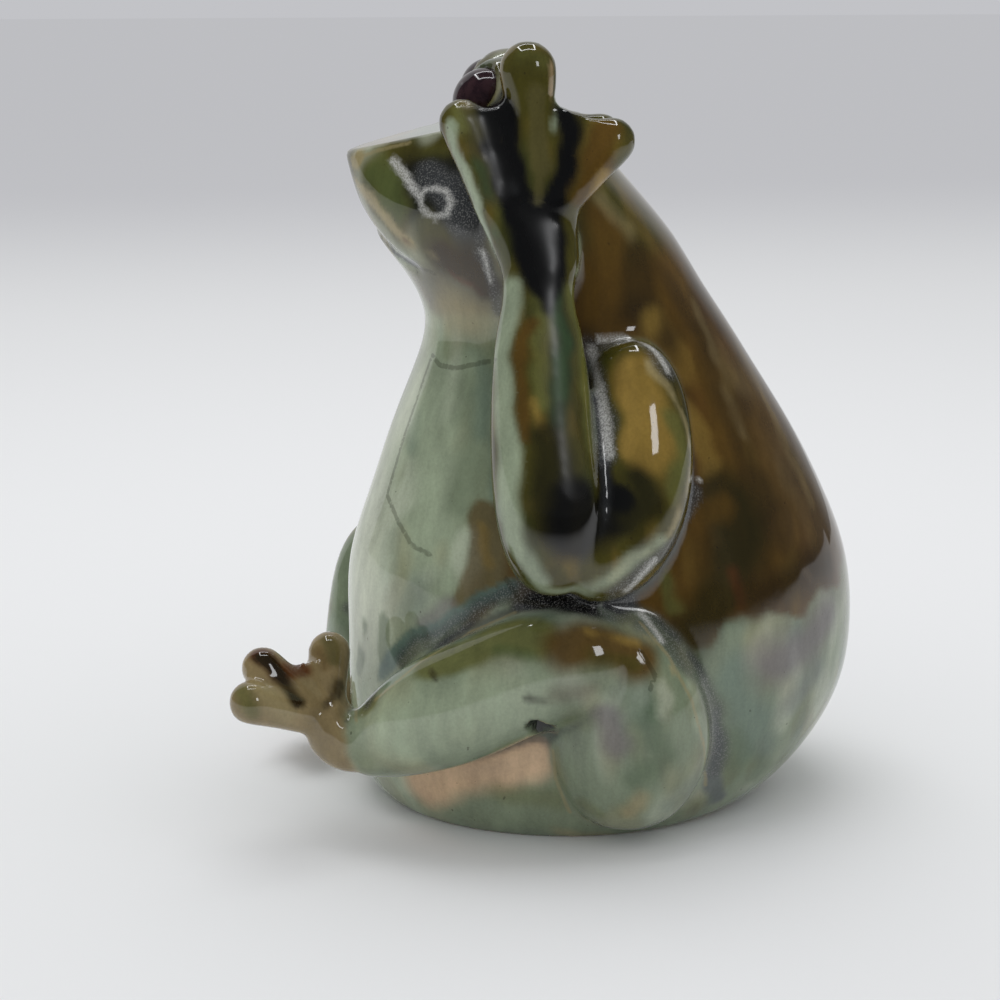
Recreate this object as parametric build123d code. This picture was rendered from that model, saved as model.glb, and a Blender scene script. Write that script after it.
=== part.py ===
from build123d import *
import os
from math import cos, pi, sin

# Seated ceramic frog with both hands held to the sides of its head.
# It faces -Y, its left side is +X, and it stands on z = 0.
# The origin is the middle of the footprint. All lengths are in millimetres.

# Body: one hollow casting below the neck seam, one above it
body_height = 104.0
belly_reach = 30.0
rump_reach = 45.7
body_half_width = 30.2
wall = 4.0
vent_radius = 3.5
vent_back = 14.0
slip_gap = 0.12
overrun = 20.0

# Head
head_turn_degrees = 11.0
neck_slope_degrees = 13.0
neck_height = 77.0
mouth_depth = 1.3
mouth_width = 1.4
eye_mound_width = 13.8
eye_mound_height = 16.0
eye_radius = 3.95
eye_dome_height = 2.4
eye_seat_depth = 1.2
eye_show = 1.0

# Arms
forearm_radius = 7.3
upper_arm_radius = 7.2
wrist_radius = 5.3
wrist_height = 80.8
right_wrist_drop = 2.6

# Hands
hand_length = 27.4
finger_spread_degrees = 26.0
hand_lean_degrees = 4.5
finger_radius = 2.9
finger_bulb_radius = 3.1
middle_bulb_radius = 3.7
web_thickness = 3.6

# Legs
thigh_radius = 11.4
knee_radius = 8.0
ankle_radius = 4.2

# Feet
toe_radius = 2.7
toe_bulb_radius = 2.9
instep_radius = 3.8
paw_thickness = 4.2

# Level outlines from the base to the crown: height, reach in front and behind, half width,
# how much narrower the front is than the back, and how far the outline turns with the head
BODY_SHARES = [
    (0.000, 0.820, 0.625, 0.815, 0.04, 0.0),
    (0.024, 0.900, 0.735, 0.890, 0.04, 0.0),
    (0.077, 0.970, 0.862, 0.955, 0.04, 0.0),
    (0.163, 1.000, 0.973, 0.994, 0.04, 0.0),
    (0.250, 1.000, 1.000, 1.000, 0.05, 0.0),
    (0.346, 0.987, 0.975, 0.980, 0.06, 0.0),
    (0.442, 0.887, 0.890, 0.927, 0.07, 0.0),
    (0.538, 0.773, 0.772, 0.854, 0.07, 0.1),
    (0.625, 0.653, 0.645, 0.762, 0.07, 0.4),
    (0.683, 0.607, 0.560, 0.712, 0.08, 0.7),
    (0.740, 0.673, 0.474, 0.700, 0.10, 0.9),
    (0.798, 0.820, 0.392, 0.720, 0.12, 1.0),
    (0.856, 0.925, 0.286, 0.700, 0.20, 1.0),
    (0.904, 0.975, 0.190, 0.580, 0.36, 1.0),
    (0.952, 0.985, 0.095, 0.430, 0.48, 1.0),
    (1.000, 0.930, 0.010, 0.320, 0.48, 1.0),
]
OUTLINE_POINTS = 16
RING_POINTS = 10
CAP_SHARE = 0.36
NECK_SHARE = 1.7
ARM_FLAT_SHARE = 0.85
THIGH_FLAT_SHARE = 0.80
SHIN_FLAT_SHARE = 0.90
HEEL_FLAT_SHARE = 0.90
WEB_START_SHARE = 0.85
WEB_BAY_SHARE = 0.88
TURN_START_SHARE = 0.42
TURN_END_SHARE = 0.78
WRIST_OUT_SHARE = 0.830
WRIST_FORWARD_SHARE = -0.043

# Side view of the crown: places from the snout back, as shares of belly reach and height
CROWN_SHARES = [
    (-1.40, 0.880),
    (-1.00, 0.916),
    (-0.53, 0.950),
    (-0.20, 0.968),
    (0.10, 0.956),
    (0.30, 0.918),
    (0.48, 0.868),
    (0.80, 0.760),
]

# Side view of the mouth line, as shares of belly reach and height
MOUTH_SHARES = [(-1.30, 0.925), (-1.00, 0.885), (-0.86, 0.828), (-0.73, 0.792), (-0.60, 0.772)]

# Middle of the eye mounds, as shares of half width, reach and height, and the way that the eyes look
EYE_MOUND_SHARES = (0.464, -0.213, 0.974)
EYE_LOOK_SHARES = (0.44, -0.70, 0.56)

# Limb stations: side, forward and up as shares of half width, belly reach and height,
# then the radius as a share of the limb's own radius
FOREARM_SHARES = [
    (1.040, -0.17, 0.385, 0.62),
    (1.058, -0.18, 0.440, 0.96),
    (1.010, -0.155, 0.538, 1.00),
    (0.950, -0.12, 0.635, 0.90),
    (0.895, -0.080, 0.731, 0.73),
    (0.850, -0.035, 0.830, 0.70),
]
UPPER_ARM_SHARES = [
    (0.750, 0.30, 0.666, 0.62),
    (0.835, 0.32, 0.596, 0.94),
    (0.937, 0.28, 0.519, 1.00),
    (1.005, 0.143, 0.440, 0.98),
    (1.030, -0.06, 0.400, 0.84),
]
LEFT_THIGH_SHARES = [
    (0.870, 0.20, 0.045, 0.62),
    (0.900, 0.21, 0.122, 0.97),
    (0.925, 0.20, 0.195, 0.96),
    (0.945, 0.13, 0.255, 0.80),
    (0.955, 0.05, 0.296, 0.58),
]
LEFT_SHIN_SHARES = [
    (0.970, 0.16, 0.268, 0.72),
    (0.985, 0.00, 0.266, 1.00),
    (0.970, -0.24, 0.255, 1.02),
    (0.910, -0.50, 0.221, 1.03),
    (0.830, -0.72, 0.187, 0.98),
    (0.745, -0.90, 0.156, 0.78),
    (0.680, -1.05, 0.139, 0.56),
    (0.645, -1.19, 0.140, 0.48),
]
RIGHT_THIGH_SHARES = [
    (0.880, 0.30, 0.050, 0.62),
    (0.930, 0.22, 0.130, 0.95),
    (0.950, -0.02, 0.205, 0.88),
    (0.900, -0.32, 0.255, 0.72),
    (0.860, -0.54, 0.275, 0.56),
]
RIGHT_SHIN_SHARES = [
    (0.860, -0.62, 0.330, 0.62),
    (0.850, -0.69, 0.285, 0.92),
    (0.820, -0.79, 0.215, 0.86),
    (0.780, -0.86, 0.160, 0.70),
    (0.730, -0.91, 0.105, 0.56),
    (0.680, -0.94, 0.060, 0.50),
]

# Fingers: root forward of and above the wrist, then reach, as shares of hand length,
# and lean as a share of the spread
FINGER_SHARES = [(0.09, 0.00, 0.80, 0.85), (0.00, 0.00, 1.00, 0.16), (-0.06, 0.34, 0.42, -1.60)]

# Palm: height and forward place as shares of hand length, width and depth as shares of wrist radius
PALM_SHARES = [
    (-0.12, 0.00, 1.00, 1.00),
    (0.04, 0.00, 1.02, 0.92),
    (0.20, 0.04, 1.16, 0.70),
    (0.36, 0.07, 1.42, 0.50),
]

# Web of the hand: forward and up, as shares of hand length; each bay between two tips is an arc
HAND_WEB_SHARES = [
    [(0.17, -0.06), (0.34, 0.81)],
    [(0.34, 0.81), (0.20, 0.82), (0.05, 0.88)],
    [(0.05, 0.88), (-0.02, 0.86)],
    [(-0.02, 0.86), (-0.18, 0.775), (-0.31, 0.755)],
    [(-0.31, 0.755), (-0.14, 0.38), (-0.17, -0.06)],
    [(-0.17, -0.06), (0.17, -0.06)],
]

# Toe tips: side, forward and up, as shares of half width, belly reach and height
LEFT_TOE_SHARES = [(0.75, -1.55, 0.212), (0.60, -1.48, 0.245), (0.43, -1.15, 0.248)]
RIGHT_TOE_SHARES = [(0.76, -1.16, 0.076), (0.58, -1.24, 0.080), (0.40, -1.16, 0.082)]
LEFT_INSTEP_SHARES = (0.635, -1.20, 0.174)
RIGHT_INSTEP_SHARES = (0.645, -0.98, 0.062)


def body_outline(shares, grow):
    height_share, front_share, back_share, width_share, egg_share, turn_share = shares
    front = belly_reach * front_share + grow
    back = rump_reach * back_share + grow
    half_width = body_half_width * width_share + grow
    middle = (back - front) / 2
    reach = (back + front) / 2
    turn = -head_turn_degrees * turn_share * pi / 180
    height = body_height * height_share
    points = []
    for step in range(OUTLINE_POINTS):
        angle = 2 * pi * step / OUTLINE_POINTS
        x = half_width * sin(angle) * (1 - egg_share * cos(angle))
        y = middle - reach * cos(angle)
        points.append((x * cos(turn) - y * sin(turn), x * sin(turn) + y * cos(turn), height))
    return make_face(Spline(*points, periodic=True))


def body_loft(grow=0.0):
    return loft([body_outline(shares, grow) for shares in BODY_SHARES])


def turned(shape):
    return Rot(0, 0, -head_turn_degrees) * shape


def side_profile(shares):
    return [(belly_reach * reach, body_height * height) for reach, height in shares]


def crown_cutter(grow=0.0):
    line = [(y, z + grow) for y, z in side_profile(CROWN_SHARES)]
    top = body_height + overrun
    curve = Plane.YZ * Spline(*line)
    ends = Plane.YZ * Polyline(line[-1], (line[-1][0], top), (line[0][0], top), line[0])
    face = make_face([curve, ends])
    return turned(extrude(face, amount=body_half_width + overrun, both=True))


def eye_mound_center(side):
    out_share, forward_share, up_share = EYE_MOUND_SHARES
    return Vector(side * body_half_width * out_share, belly_reach * forward_share, body_height * up_share)


def eye_mounds(grow=0.0):
    """Egg-shaped swellings on the crown, taller than they are wide."""
    half_width = eye_mound_width / 2 + grow
    half_height = eye_mound_height / 2 + grow
    flank = EllipticalCenterArc((0, 0), half_width, half_height, start_angle=-90, arc_size=180)
    half_oval = make_face([flank, Line((0, half_height), (0, -half_height))])
    egg = revolve(Plane.XZ * half_oval, axis=Axis.Z)
    return [turned(Pos(eye_mound_center(side)) * egg) for side in (1, -1)]


def eye_plane(side):
    """Plane that touches the mound where the frog looks out."""
    out_share, forward_share, up_share = EYE_LOOK_SHARES
    look = Vector(side * out_share, forward_share, up_share).normalized()
    sizes = (eye_mound_width, eye_mound_width, eye_mound_height)
    surface = 1 / (2 * sum((part / size) ** 2 for part, size in zip(look, sizes)) ** 0.5)
    return Plane(origin=eye_mound_center(side) + look * surface, z_dir=look)


def eye_form(side):
    """Domed button whose rim lies just under the surface of the mound."""
    rim = eye_show - eye_dome_height
    bottom = rim - eye_seat_depth
    dome = TangentArc((0, eye_show), (eye_radius, rim), tangent=(1, 0))
    under = Polyline((eye_radius, rim), (eye_radius, bottom), (0, bottom), (0, eye_show))
    button = revolve(Plane.XZ * make_face([dome, under]), axis=Axis.Z)
    return turned(eye_plane(side) * button)


def eye_seat(side):
    """Round seat for the button, open outwards."""
    bottom = eye_show - eye_dome_height - eye_seat_depth - slip_gap
    reach = eye_mound_height
    return turned(eye_plane(side) * Pos(0, 0, bottom + reach / 2) * Cylinder(eye_radius + slip_gap, reach))


def outer_form(grow=0.0):
    form = body_loft(grow) - crown_cutter(grow)
    for mound in eye_mounds(grow):
        form = form + mound
    return form


def neck_cutter():
    reach = body_height + overrun
    block = Pos(0, 0, reach / 2) * Box(reach * 2, reach * 2, reach)
    return Pos(0, 0, neck_height) * Rot(neck_slope_degrees, 0, 0) * block


def spot(side, shares):
    """A place beside the body. From the elbows up the places turn with the head."""
    out_share, forward_share, up_share = shares
    x = side * body_half_width * out_share
    y = belly_reach * forward_share
    turn_share = min(1.0, max(0.0, (up_share - TURN_START_SHARE) / (TURN_END_SHARE - TURN_START_SHARE)))
    turn = -head_turn_degrees * turn_share * pi / 180
    return Vector(x * cos(turn) - y * sin(turn), x * sin(turn) + y * cos(turn), body_height * up_share)


def ring(center, heading, side_radius, cross_radius):
    """Smooth oval outline across a limb that runs along heading."""
    along = heading.normalized()
    level = Vector(1, 0, 0)
    aside = (level - along * level.dot(along)).normalized()
    across = along.cross(aside)
    points = []
    for step in range(RING_POINTS):
        angle = 2 * pi * step / RING_POINTS
        points.append(center + aside * (side_radius * cos(angle)) + across * (cross_radius * sin(angle)))
    return make_face(Spline(*points, periodic=True))


def limb(centers, radii, flat_share=1.0, round_start=True, round_end=False):
    """Loft through round outlines along centers; a rounded end closes on a point."""
    rings = []
    last = len(centers) - 1
    for index, center in enumerate(centers):
        heading = centers[min(index + 1, last)] - centers[max(index - 1, 0)]
        rings.append(ring(center, heading, radii[index] * flat_share, radii[index]))
    if round_start:
        heading = (centers[1] - centers[0]).normalized()
        rings.insert(0, Vertex(centers[0] - heading * (radii[0] * CAP_SHARE)))
    if round_end:
        heading = (centers[last] - centers[last - 1]).normalized()
        rings.append(Vertex(centers[last] + heading * (radii[last] * CAP_SHARE)))
    return loft(rings)


def shaped_limb(side, shares, radius, flat_share=1.0, round_end=False):
    centers = [spot(side, station[:3]) for station in shares]
    radii = [radius * station[3] for station in shares]
    return limb(centers, radii, flat_share, round_end=round_end)


def digit(root, tip, shaft_radius, bulb_radius):
    """Finger or toe, turned about its own line, that ends in a round bulb."""
    span = tip - root
    length = span.length
    neck = length - bulb_radius * NECK_SHARE
    equator = (bulb_radius, length)
    pole = (0, length + bulb_radius)
    flank = Spline(
        (shaft_radius, 0), (shaft_radius, neck / 2), (shaft_radius, neck), equator,
        tangents=[(0, 1), (0, 1)],
    )
    half_turn = bulb_radius * sin(pi / 4)
    end = ThreePointArc(equator, (half_turn, length + half_turn), pole)
    profile = make_face([Line((0, 0), (shaft_radius, 0)), flank, end, Line(pole, (0, 0))])
    return Plane(origin=root, z_dir=span) * revolve(Plane.XZ * profile, axis=Axis.Z)


def web(corner, tips, thickness):
    """Skin between two toes, drawn in between the tips."""
    starts = [corner + (tip - corner) * WEB_START_SHARE for tip in tips]
    middle = corner + ((tips[0] + tips[1]) / 2 - corner) * WEB_BAY_SHARE
    edges = [Line(corner, starts[0]), ThreePointArc(starts[0], middle, starts[1]), Line(starts[1], corner)]
    face = make_face(edges)
    return extrude(face, amount=thickness / 2, both=True)


def hand_frame(side):
    """The wrist's centre, the way up the hand and the way forward across it."""
    lean = hand_lean_degrees * pi / 180
    height = wrist_height if side > 0 else wrist_height - right_wrist_drop
    wrist = spot(side, (WRIST_OUT_SHARE, WRIST_FORWARD_SHARE, height / body_height))
    turn = -head_turn_degrees * pi / 180
    up = Vector(-side * sin(lean) * cos(turn), -side * sin(lean) * sin(turn), cos(lean))
    return wrist, up, Vector(sin(turn), -cos(turn), 0)


def hand_form(side):
    wrist, up, forward = hand_frame(side)

    def place(forward_share, up_share):
        return wrist + forward * (hand_length * forward_share) + up * (hand_length * up_share)

    web_edges = []
    for shares in HAND_WEB_SHARES:
        points = [place(*share) for share in shares]
        web_edges.append(Line(*points) if len(points) == 2 else ThreePointArc(*points))
    hand = extrude(make_face(web_edges), amount=web_thickness / 2, both=True)

    rings = []
    for up_share, forward_share, width_share, depth_share in PALM_SHARES:
        middle = place(forward_share, up_share)
        rings.append(ring(middle, up, wrist_radius * depth_share, wrist_radius * width_share))
    hand = hand + loft(rings)

    for forward_share, up_share, reach_share, lean_share in FINGER_SHARES:
        angle = finger_spread_degrees * lean_share * pi / 180
        root = place(forward_share, up_share)
        tip = place(forward_share + reach_share * sin(angle), up_share + reach_share * cos(angle))
        bulb = middle_bulb_radius if reach_share == 1.0 else finger_bulb_radius
        hand = hand + digit(root, tip, finger_radius, bulb)
    return hand


def wrist_cutter(side):
    """Half space above the wrist seam, square to the hand."""
    wrist, up, forward = hand_frame(side)
    reach = hand_length + overrun
    block = Pos(0, 0, reach / 2) * Box(reach, reach, reach)
    return Plane(origin=wrist, x_dir=forward, z_dir=up) * block


def arm_form(side):
    forearm = shaped_limb(side, FOREARM_SHARES, forearm_radius, ARM_FLAT_SHARE)
    upper_arm = shaped_limb(side, UPPER_ARM_SHARES, upper_arm_radius, ARM_FLAT_SHARE, round_end=True)
    return forearm + upper_arm


def leg_form(side):
    thigh_shares = LEFT_THIGH_SHARES if side > 0 else RIGHT_THIGH_SHARES
    shin_shares = LEFT_SHIN_SHARES if side > 0 else RIGHT_SHIN_SHARES
    thigh = shaped_limb(side, thigh_shares, thigh_radius, THIGH_FLAT_SHARE, round_end=True)
    shin = shaped_limb(side, shin_shares, knee_radius, SHIN_FLAT_SHARE)
    return thigh + shin


def ankle_line(side):
    """The last of the shin before the ankle, and the ankle itself."""
    shin_shares = LEFT_SHIN_SHARES if side > 0 else RIGHT_SHIN_SHARES
    return [spot(side, station[:3]) for station in shin_shares[-3:-1]]


def heel_form(side):
    """The stub of the foot on the ankle seam."""
    before, ankle = ankle_line(side)
    start = ankle + (before - ankle) / 2
    instep = spot(side, LEFT_INSTEP_SHARES if side > 0 else RIGHT_INSTEP_SHARES)
    radii = [ankle_radius, ankle_radius, instep_radius]
    heel = limb([start, ankle, instep], radii, HEEL_FLAT_SHARE, round_start=False, round_end=True)
    return heel & ankle_cutter(side)


def foot_form(side):
    instep = spot(side, LEFT_INSTEP_SHARES if side > 0 else RIGHT_INSTEP_SHARES)
    toe_shares = LEFT_TOE_SHARES if side > 0 else RIGHT_TOE_SHARES
    tips = [spot(side, share) for share in toe_shares]
    foot = heel_form(side)
    for tip in tips:
        foot = foot + digit(instep, tip, toe_radius, toe_bulb_radius)
    for pair in zip(tips, tips[1:]):
        foot = foot + web(instep, pair, paw_thickness)
    return foot


def ankle_cutter(side):
    """Half space beyond the ankle seam, square to the end of the shin."""
    before, ankle = ankle_line(side)
    reach = belly_reach
    block = Pos(0, 0, reach / 2) * Box(reach * 2, reach * 2, reach)
    return Plane(origin=ankle, z_dir=ankle - before) * block


def mouth_cutter():
    """Groove under the upper lip, mouth_depth deep, round the snout from cheek to cheek."""
    line = side_profile(MOUTH_SHARES)
    low = [(y, z - mouth_width) for y, z in line]
    edges = [Spline(*line), Line(line[-1], low[-1]), Spline(*low), Line(low[0], line[0])]
    face = make_face([Plane.YZ * edge for edge in edges])
    slab = turned(extrude(face, amount=body_half_width, both=True))
    return slab - body_loft(-mouth_depth)


def cavity():
    """Space that the slip leaves inside the casting, with a flat floor one wall thick."""
    hollow = body_loft(-wall) - crown_cutter(-wall)
    floor_size = (body_half_width + rump_reach) * 2
    floor = Pos(0, 0, wall / 2) * Box(floor_size, floor_size, wall)
    return hollow - floor


def main():
    os.makedirs("parts", exist_ok=True)
    outside = outer_form()
    clear_outside = outer_form(slip_gap)
    inside = cavity()
    above_neck = neck_cutter()
    vent = Pos(0, vent_back, wall / 2) * Cylinder(vent_radius, wall * 2)

    pieces = {}
    pieces["torso"] = outside - above_neck - inside - vent
    head = (outside & above_neck) - inside - mouth_cutter()
    for side, label in ((1, "left"), (-1, "right")):
        head = head - eye_seat(side)
        pieces[f"{label}_eye"] = eye_form(side)
        arm = arm_form(side) - clear_outside - wrist_cutter(side)
        pieces[f"{label}_arm"] = arm
        pieces[f"{label}_hand"] = (hand_form(side) & wrist_cutter(side)) - clear_outside
        leg = leg_form(side) - clear_outside - ankle_cutter(side)
        pieces[f"{label}_leg"] = leg - arm
        pieces[f"{label}_foot"] = foot_form(side) - clear_outside - leg
    pieces["head"] = head

    for name, piece in pieces.items():
        solids = piece.solids()
        print(name, len(solids), piece.is_valid, round(piece.volume))
        export_step(piece, f"parts/{name}.step")


main()
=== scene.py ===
from math import radians

import bmesh
import bpy
import numpy as np
from mathutils import Matrix, Vector, noise
from mathutils.bvhtree import BVHTree


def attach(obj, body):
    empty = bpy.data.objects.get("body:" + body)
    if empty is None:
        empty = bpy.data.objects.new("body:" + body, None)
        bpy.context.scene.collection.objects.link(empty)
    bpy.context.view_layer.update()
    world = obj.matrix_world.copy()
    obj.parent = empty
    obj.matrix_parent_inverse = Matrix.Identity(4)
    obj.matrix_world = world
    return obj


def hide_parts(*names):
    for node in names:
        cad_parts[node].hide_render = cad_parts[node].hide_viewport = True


# Seated frog in drip-glazed ceramic. It faces -Y and its left side is +X.
# All lengths are in metres; places on the near side are given as points of the 1000 x 1000 picture.

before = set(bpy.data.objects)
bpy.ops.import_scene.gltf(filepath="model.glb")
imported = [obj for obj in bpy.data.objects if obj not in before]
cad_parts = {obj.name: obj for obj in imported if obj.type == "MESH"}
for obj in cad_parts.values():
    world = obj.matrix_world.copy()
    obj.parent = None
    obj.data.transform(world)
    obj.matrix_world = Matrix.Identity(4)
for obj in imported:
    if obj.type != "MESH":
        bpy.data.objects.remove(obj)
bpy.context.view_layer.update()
scene = bpy.context.scene
MM = 0.001

# noise_vector takes its place in the noise from the clock unless it is given a seed
noise.seed_set(4)

LIMBS = [f"{side}_{limb}" for limb in ("arm", "hand", "leg", "foot") for side in ("left", "right")]
SKIN_NODES = ["torso", "head"] + LIMBS

# The part's own turn of the head, repeated here to fold the far side onto the near side
HEAD_TURN = radians(11)
BODY_HEIGHT = 104 * MM
TURN_START, TURN_END = 0.42 * BODY_HEIGHT, 0.78 * BODY_HEIGHT

# How thick the glaze stands on the body and on the eyes
COAT = 0.12 * MM
EYE_COAT = 0.14 * MM

# Where the camera stands and looks, and its focal length in points of the picture
EYE_POINT = Vector((341.61, -67.69, 124.19)) * MM
LOOK_POINT = Vector((0, -7.46, 44.11)) * MM
FOCAL_PIXELS = 2400.0


def colour(red, green, blue):
    """A colour written as it looks on screen, turned into the linear values that shaders use."""
    values = [value / 255 for value in (red, green, blue)]
    return np.array([v / 12.92 if v <= 0.04045 else ((v + 0.055) / 1.055) ** 2.4 for v in values])


GLAZE = {
    "ink": colour(10, 10, 11),
    "gunmetal": colour(56, 58, 60),
    "silver": colour(196, 196, 192),
    "olive": colour(70, 66, 24),
    "deep_olive": colour(36, 34, 13),
    "moss": colour(94, 96, 50),
    "bottle": colour(44, 60, 34),
    "leaf": colour(54, 80, 46),
    "celadon": colour(148, 160, 135),
    "pale_celadon": colour(191, 197, 177),
    "grey_green": colour(118, 130, 106),
    "sea": colour(82, 106, 99),
    "slate": colour(84, 90, 94),
    "lilac": colour(104, 97, 100),
    "ochre": colour(132, 108, 50),
    "gold": colour(146, 120, 58),
    "amber": colour(84, 62, 22),
    "brown": colour(52, 40, 17),
    "umber": colour(38, 29, 15),
    "taupe": colour(82, 68, 50),
    "tan": colour(150, 138, 100),
    "strip": colour(82, 77, 42),
    "khaki": colour(132, 116, 82),
    "rust": colour(84, 46, 24),
    "blush": colour(198, 168, 134),
    "clay": colour(176, 158, 132),
    "plum": colour(52, 34, 38),
}


# Camera

def look_rotation(place, goal):
    return (goal - place).to_track_quat("-Z", "Y").to_matrix()


def add_camera():
    data = bpy.data.cameras.new("camera")
    data.sensor_width = 36
    data.lens = 36 * FOCAL_PIXELS / 1000
    data.clip_start = 0.01
    camera = bpy.data.objects.new("camera", data)
    camera.location = EYE_POINT
    camera.rotation_euler = look_rotation(EYE_POINT, LOOK_POINT).to_euler()
    scene.collection.objects.link(camera)
    scene.camera = camera


VIEW = look_rotation(EYE_POINT, LOOK_POINT)


def ray_through(pixel):
    """Direction from the camera through a point of the picture."""
    x = (pixel[0] - 500) / FOCAL_PIXELS
    y = (500 - pixel[1]) / FOCAL_PIXELS
    return (VIEW @ Vector((x, y, -1))).normalized()


# Shader building

class Value:
    """A socket that takes part in sums; each operation adds a Math node."""

    def __init__(self, tree, socket):
        self.tree = tree
        self.socket = socket

    def math(self, operation, *others):
        node = self.tree.nodes.new("ShaderNodeMath")
        node.operation = operation
        for place, item in enumerate((self,) + others):
            join(self.tree, item, node.inputs[place])
        return Value(self.tree, node.outputs[0])

    def __add__(self, other):
        return self.math("ADD", other)

    __radd__ = __add__

    def __mul__(self, other):
        return self.math("MULTIPLY", other)

    __rmul__ = __mul__

    def __sub__(self, other):
        return self.math("SUBTRACT", other)

    def __rsub__(self, other):
        return (self * -1) + other

    def step(self, low, high):
        """Smooth step from 0 at low to 1 at high."""
        node = self.tree.nodes.new("ShaderNodeMapRange")
        node.interpolation_type = "SMOOTHSTEP"
        join(self.tree, self, node.inputs["Value"])
        node.inputs["From Min"].default_value = low
        node.inputs["From Max"].default_value = high
        return Value(self.tree, node.outputs["Result"])


def join(tree, item, socket):
    if isinstance(item, Value):
        item = item.socket
    if isinstance(item, bpy.types.NodeSocket):
        tree.links.new(item, socket)
    else:
        socket.default_value = item


class Nodes:
    """The nodes of a material or of the world, with short calls that add them."""

    def __init__(self, owner, output):
        owner.use_nodes = True
        self.tree = owner.node_tree
        self.tree.nodes.clear()
        self.output = self.tree.nodes.new("ShaderNodeOutput" + output)

    def node(self, kind, settings=None, output=0, **sockets):
        node = self.tree.nodes.new("ShaderNode" + kind)
        for name, value in (settings or {}).items():
            setattr(node, name, value)
        for name, item in sockets.items():
            join(self.tree, item, node.inputs[name.replace("_", " ")])
        return Value(self.tree, node.outputs[output])

    def either(self, factor, first, second):
        """The first surface where the factor is 0, the second where it is 1."""
        mixer = self.tree.nodes.new("ShaderNodeMixShader")
        for place, item in enumerate((factor, first, second)):
            join(self.tree, item, mixer.inputs[place])
        return Value(self.tree, mixer.outputs[0])

    def finish(self, surface):
        join(self.tree, surface, self.output.inputs["Surface"])


class Shader(Nodes):
    """One material, with what its patterns need."""

    def __init__(self, name):
        self.material = bpy.data.materials.new(name)
        super().__init__(self.material, "Material")

    def place(self):
        return self.node("TexCoord", output="Object")

    def attribute(self, name, output="Fac"):
        return self.node("Attribute", {"attribute_name": name}, output=output)

    def noise(self, place, size, detail=2.0, roughness=0.5):
        """Noise between 0 and 1 whose patches are about size metres across."""
        return self.node("TexNoise", Vector=place, Scale=1 / size, Detail=detail, Roughness=roughness)

    def mix(self, factor, first, second, blend="MIX"):
        node = self.tree.nodes.new("ShaderNodeMix")
        node.data_type = "RGBA"
        node.blend_type = blend
        join(self.tree, factor, node.inputs[0])
        for place, item in ((6, first), (7, second)):
            if isinstance(item, np.ndarray):
                item = (*item.tolist(), 1.0)
            join(self.tree, item, node.inputs[place])
        return Value(self.tree, node.outputs[2])

    def principled(self, **sockets):
        self.finish(self.node("BsdfPrincipled", **sockets))


# Skin: the glaze that runs over the luted joints

VOXEL = 0.68 * MM
HAND_ROUNDS = 40
WRIST_ROUNDS = 36
CREASE_ROUNDS = 40

# The plug that stops the vent: radius, thickness and the place of its middle
PLUG_RADIUS, PLUG_DEPTH = 4.5 * MM, 1.6 * MM
PLUG_PLACE = Vector((0, 14, 3.2)) * MM


def merged_copy(name, swell):
    """A CAD node's loose triangles merged and swollen by the glaze, so that neighbours meet."""
    bm = bmesh.new()
    bm.from_mesh(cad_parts[name].data)
    bmesh.ops.remove_doubles(bm, verts=bm.verts, dist=0.002 * MM)
    bm.normal_update()
    for vert in bm.verts:
        vert.co += vert.normal * swell
    return bm


def add_copy(target, bm):
    mesh = bpy.data.meshes.new("part_copy")
    bm.to_mesh(mesh)
    bm.free()
    target.from_mesh(mesh)
    bpy.data.meshes.remove(mesh)


def fused_mesh():
    """All pieces in one closed surface, with the vent stopped a little way up."""
    whole = bmesh.new()
    for name in SKIN_NODES:
        add_copy(whole, merged_copy(name, COAT))
    plug = bmesh.new()
    bmesh.ops.create_cone(
        plug, cap_ends=True, segments=24, radius1=PLUG_RADIUS, radius2=PLUG_RADIUS, depth=PLUG_DEPTH,
        matrix=Matrix.Translation(PLUG_PLACE),
    )
    add_copy(whole, plug)
    mesh = bpy.data.meshes.new("skin_source")
    whole.to_mesh(mesh)
    whole.free()
    source = bpy.data.objects.new("skin_source", mesh)
    scene.collection.objects.link(source)
    remesh = source.modifiers.new("remesh", "REMESH")
    remesh.mode = "VOXEL"
    remesh.voxel_size = VOXEL
    remesh.adaptivity = 0
    graph = bpy.context.evaluated_depsgraph_get()
    fused = bpy.data.meshes.new_from_object(source.evaluated_get(graph))
    bpy.data.objects.remove(source)
    return fused


def keep_largest_shell(mesh):
    bm = bmesh.new()
    bm.from_mesh(mesh)
    bm.verts.ensure_lookup_table()
    seen = np.zeros(len(bm.verts), bool)
    shells = []
    for start in bm.verts:
        if seen[start.index]:
            continue
        seen[start.index] = True
        shell, waiting = [], [start]
        while waiting:
            vert = waiting.pop()
            shell.append(vert)
            for edge in vert.link_edges:
                other = edge.other_vert(vert)
                if not seen[other.index]:
                    seen[other.index] = True
                    waiting.append(other)
        shells.append(shell)
    shells.sort(key=len)
    for shell in shells[:-1]:
        bmesh.ops.delete(bm, geom=shell, context="VERTS")
    bm.to_mesh(mesh)
    bm.free()


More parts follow.
